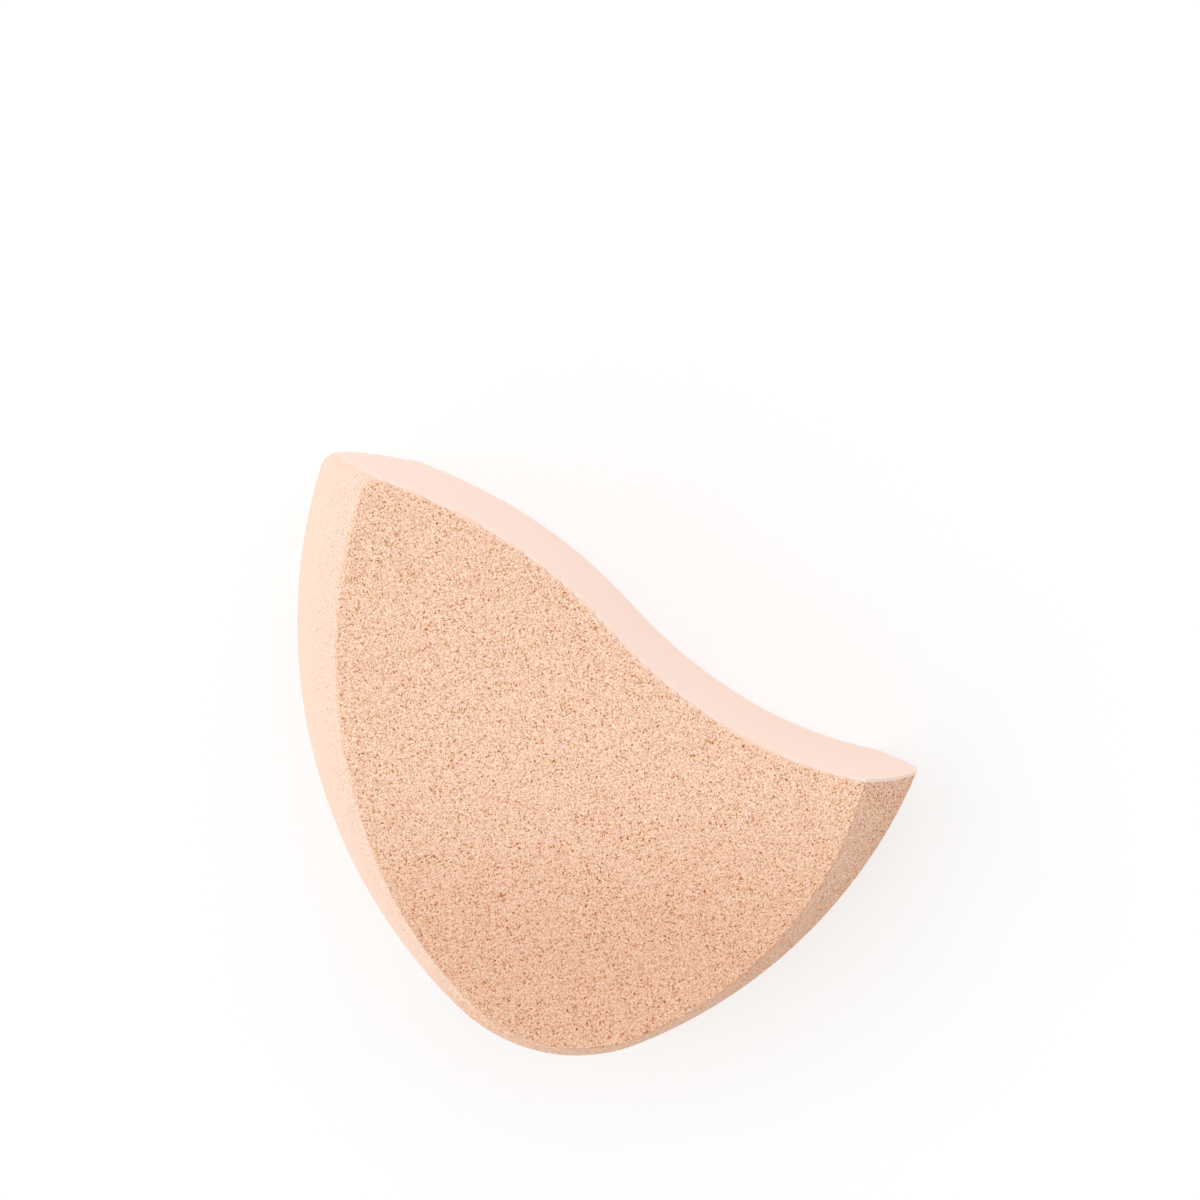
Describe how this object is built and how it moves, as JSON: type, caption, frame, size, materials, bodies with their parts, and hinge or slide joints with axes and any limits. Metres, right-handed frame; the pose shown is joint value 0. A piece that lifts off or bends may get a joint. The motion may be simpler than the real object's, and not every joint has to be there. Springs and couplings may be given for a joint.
{
  "type": "makeup sponge",
  "caption": "Flat foam makeup sponge with a waved, skin-sealed grip edge, pointed tips, bulging side walls and a rounded toe, for dabbing and blending cosmetics.",
  "frame": {"origin": "middle of the sponge's box, at the back face that it rests on", "axes": "+Z through the thickness, from the back face to the front face; +X along the waved edge, from the blunt tip to the sharp tip; +Y from the toe to the waved edge"},
  "size_m": [0.0638, 0.0443, 0.02],
  "materials": {
    "foam": "matt, fine open-cell foam with small dark pores",
    "skin": "matt, smooth sealed foam skin without pores"
  },
  "bodies": {
    "root": {"foam_core": "foam", "smooth_skin": "skin"}
  },
  "joints": []
}
